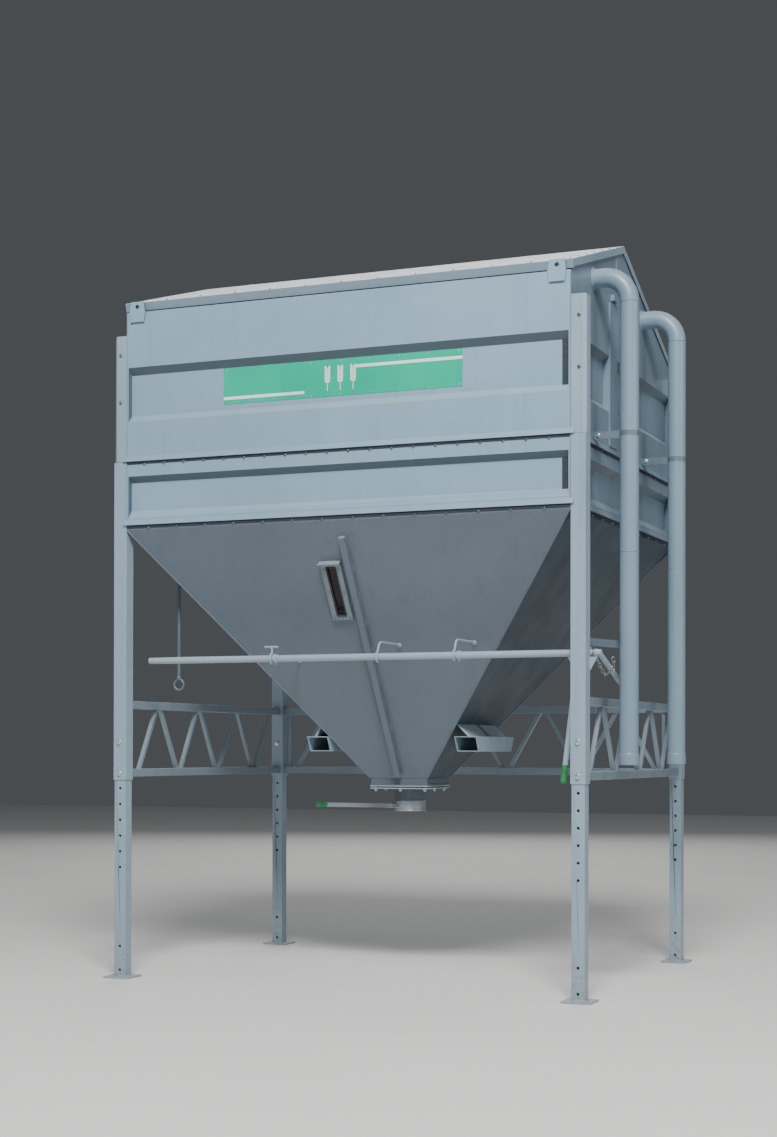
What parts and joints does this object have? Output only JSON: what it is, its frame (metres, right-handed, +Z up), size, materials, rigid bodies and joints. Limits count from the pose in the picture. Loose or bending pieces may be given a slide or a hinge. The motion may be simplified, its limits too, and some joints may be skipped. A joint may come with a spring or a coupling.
{
  "type": "feed bin",
  "caption": "Outdoor feed bin on adjustable legs with a pyramid hopper, slide gate, fill pipes and a hand-operated shaft.",
  "frame": {"origin": "on the ground under the middle of the bin's overall box", "axes": "+Z up, -Y towards the front with the sight glass, +X towards the side with the fill pipes"},
  "size_m": [3.358, 2.448, 4.606],
  "materials": {
    "painted_steel": "satin blue-grey paint",
    "galvanised_steel": "dull zinc",
    "green_grip": "matt moulded plastic",
    "sight_glass": "dark clear sheet"
  },
  "bodies": {
    "root": {"fill_elbow_back": "painted_steel", "fill_elbow_front": "painted_steel", "fill_pipe_back": "painted_steel", "fill_pipe_front": "painted_steel", "foot_back_left": "painted_steel", "foot_back_right": "painted_steel", "foot_front_left": "painted_steel", "foot_front_right": "painted_steel", "fork_pocket_left": "painted_steel", "fork_pocket_right": "painted_steel", "girder_back": "painted_steel", "girder_left": "painted_steel", "girder_right": "painted_steel", "hanging_rod": "painted_steel", "hopper_back": "painted_steel", "hopper_front": "painted_steel", "hopper_left": "painted_steel", "hopper_rib": "painted_steel", "hopper_right": "painted_steel", "leg_back_left": "painted_steel", "leg_back_right": "painted_steel", "leg_front_left": "painted_steel", "leg_front_right": "painted_steel", "lower_wall_back": "painted_steel", "lower_wall_front": "painted_steel", "lower_wall_left": "painted_steel", "lower_wall_right": "painted_steel", "outlet_collar": "painted_steel", "outlet_neck": "painted_steel", "outlet_spout": "galvanised_steel", "post_back_left": "painted_steel", "post_back_right": "painted_steel", "post_front_left": "painted_steel", "post_front_right": "painted_steel", "roof_back": "painted_steel", "roof_front": "painted_steel", "shaft_eye_left": "painted_steel", "shaft_eye_middle": "painted_steel", "shaft_eye_right": "painted_steel", "sight_frame": "painted_steel", "sight_glass": "sight_glass", "upper_wall_back": "painted_steel", "upper_wall_front": "painted_steel", "upper_wall_left": "painted_steel", "upper_wall_right": "painted_steel"},
    "shaft": {"operating_shaft": "painted_steel", "lever_grip": "green_grip"},
    "gate": {"slide_gate": "galvanised_steel", "slide_grip": "green_grip"}
  },
  "joints": [
    {"name": "shaft_turn", "type": "hinge", "parent": "root", "child": "shaft", "pos_m": [0.021, -1.06, 2.01], "axis": [1, 0, 0], "range_deg": [0, 20]},
    {"name": "gate_slide", "type": "slide", "parent": "root", "child": "gate", "axis": [-1, 0, 0], "range_m": [0, 0.2]}
  ]
}
